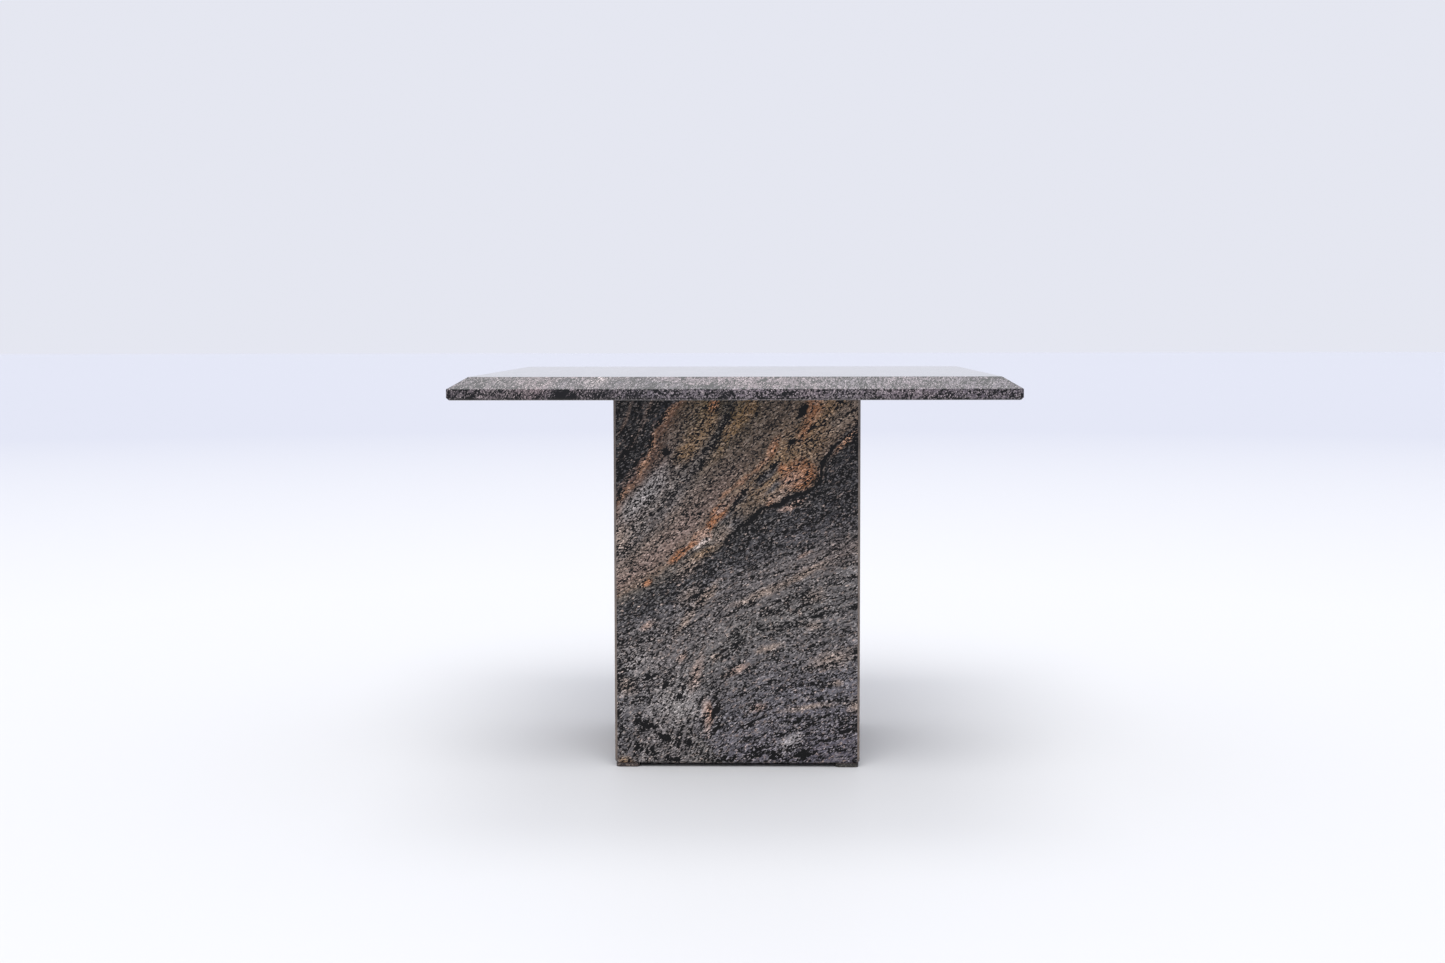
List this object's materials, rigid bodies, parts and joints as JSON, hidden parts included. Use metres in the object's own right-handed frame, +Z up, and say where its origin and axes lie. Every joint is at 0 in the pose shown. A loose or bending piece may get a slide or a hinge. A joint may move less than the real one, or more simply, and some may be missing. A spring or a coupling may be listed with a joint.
{
  "type": "side table",
  "caption": "Low square side table of polished granite: a bevelled slab top that rests on a hollow mitred column and lifts straight off it.",
  "frame": {"origin": "on the floor, under the middle of the column", "axes": "+Z up through the middle of the table, -Y towards the front panel, +X to the right of a person who looks at the front"},
  "size_m": [0.5, 0.5, 0.37],
  "materials": {
    "polished_top_granite": "polished, fine mauve-grey gneiss",
    "polished_column_granite": "polished, banded grey, brown and orange gneiss",
    "sawn_granite": "sawn, matt",
    "foot_granite": "honed, dark",
    "mitre_resin": "brown polyester resin, polished flush",
    "bumper_rubber": "matt"
  },
  "bodies": {
    "column": {"front_panel": "polished_column_granite", "right_panel": "polished_column_granite", "back_panel": "polished_column_granite", "left_panel": "polished_column_granite", "seam_front_right": "mitre_resin", "seam_back_right": "mitre_resin", "seam_back_left": "mitre_resin", "seam_front_left": "mitre_resin", "foot_front_right": "foot_granite", "foot_back_right": "foot_granite", "foot_back_left": "foot_granite", "foot_front_left": "foot_granite", "foot_bed_front_right": "mitre_resin", "foot_bed_back_right": "mitre_resin", "foot_bed_back_left": "mitre_resin", "foot_bed_front_left": "mitre_resin", "upper_block_front_right": "sawn_granite", "upper_block_back_right": "sawn_granite", "upper_block_back_left": "sawn_granite", "upper_block_front_left": "sawn_granite", "lower_block_front_right": "sawn_granite", "lower_block_back_right": "sawn_granite", "lower_block_back_left": "sawn_granite", "lower_block_front_left": "sawn_granite", "bumper_front_right": "bumper_rubber", "bumper_back_right": "bumper_rubber", "bumper_back_left": "bumper_rubber", "bumper_front_left": "bumper_rubber"},
    "top": {"tabletop": "polished_top_granite", "locator_front": "sawn_granite", "locator_right": "sawn_granite", "locator_back": "sawn_granite", "locator_left": "sawn_granite"}
  },
  "joints": [
    {"name": "top_lift", "type": "slide", "parent": "column", "child": "top", "axis": [0, 0, 1], "range_m": [0, 0.1]}
  ]
}
